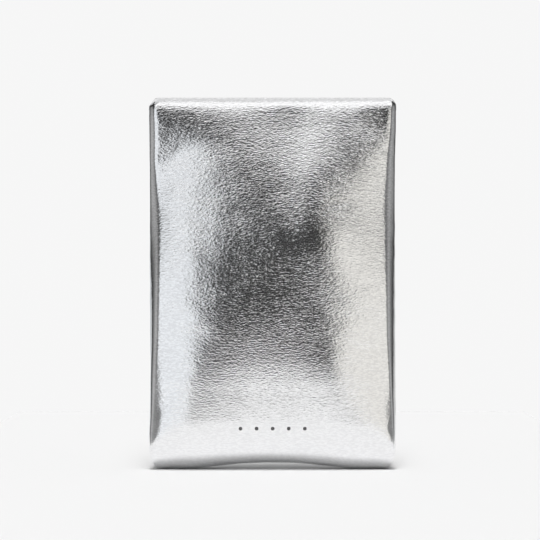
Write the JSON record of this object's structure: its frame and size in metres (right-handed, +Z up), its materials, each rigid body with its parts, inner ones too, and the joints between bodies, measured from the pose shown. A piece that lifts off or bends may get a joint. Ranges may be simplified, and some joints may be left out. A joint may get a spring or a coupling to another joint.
{
  "type": "eyeglasses case",
  "caption": "Soft padded eyeglasses pouch with a squeeze-open spring mouth: two sewn leather sides, foam, lining, and spring leaves pinned at both ends of the mouth.",
  "frame": {"origin": "on the surface that the pouch stands on, under the middle of its bottom seam", "axes": "+Z up from the bottom seam to the mouth, -Y out of the front side, X along the mouth"},
  "size_m": [0.1124, 0.029, 0.168],
  "materials": {
    "leather": "metallic, pebble grained",
    "padding": "open foam",
    "lining": "brushed microfibre",
    "facing": "metallic, fine grained",
    "spring_steel": "bright rolled",
    "pin_steel": "turned",
    "thread": "twisted polyester"
  },
  "bodies": {
    "root": {"seam_welt": "leather", "seam_thread": "thread", "hinge_pin_left": "pin_steel", "hinge_pin_right": "pin_steel"},
    "front_side": {"front_panel": "leather", "front_padding": "padding", "front_lining": "lining"},
    "front_left_frame": {"front_leaf_left": "spring_steel", "front_facing_left": "facing", "front_facing_thread_left": "thread"},
    "front_right_frame": {"front_leaf_right": "spring_steel", "front_facing_right": "facing", "front_facing_thread_right": "thread"},
    "back_side": {"back_panel": "leather", "back_padding": "padding", "back_lining": "lining"},
    "back_left_frame": {"back_leaf_left": "spring_steel", "back_facing_left": "facing", "back_facing_thread_left": "thread"},
    "back_right_frame": {"back_leaf_right": "spring_steel", "back_facing_right": "facing", "back_facing_thread_right": "thread"}
  },
  "joints": [
    {"name": "front_side_open", "type": "hinge", "parent": "root", "child": "front_side", "pos_m": [0, 0, 0], "axis": [1, 0, 0], "range_deg": [0, 5.2], "stiffness_Nm_per_rad": 1, "springref_deg": -1.72},
    {"name": "back_side_open", "type": "hinge", "parent": "root", "child": "back_side", "pos_m": [0, 0, 0], "axis": [-1, 0, 0], "range_deg": [0, 5.2], "stiffness_Nm_per_rad": 1, "springref_deg": -1.72},
    {"name": "front_left_bow", "type": "hinge", "parent": "root", "child": "front_left_frame", "pos_m": [-0.051, 0, 0.16], "axis": [0, 0, -1], "range_deg": [0, 15.01]},
    {"name": "front_right_bow", "type": "hinge", "parent": "root", "child": "front_right_frame", "pos_m": [0.051, 0, 0.16], "axis": [0, 0, 1], "range_deg": [0, 15.01]},
    {"name": "back_left_bow", "type": "hinge", "parent": "root", "child": "back_left_frame", "pos_m": [-0.051, 0, 0.16], "axis": [0, 0, 1], "range_deg": [0, 15.01]},
    {"name": "back_right_bow", "type": "hinge", "parent": "root", "child": "back_right_frame", "pos_m": [0.051, 0, 0.16], "axis": [0, 0, -1], "range_deg": [0, 15.01]}
  ],
  "couplings": [
    {"joint": "back_side_open", "follows": "front_side_open", "ratio": 1},
    {"joint": "front_left_bow", "follows": "front_side_open", "ratio": 2.8846},
    {"joint": "front_right_bow", "follows": "front_side_open", "ratio": 2.8846},
    {"joint": "back_left_bow", "follows": "front_side_open", "ratio": 2.8846},
    {"joint": "back_right_bow", "follows": "front_side_open", "ratio": 2.8846}
  ]
}
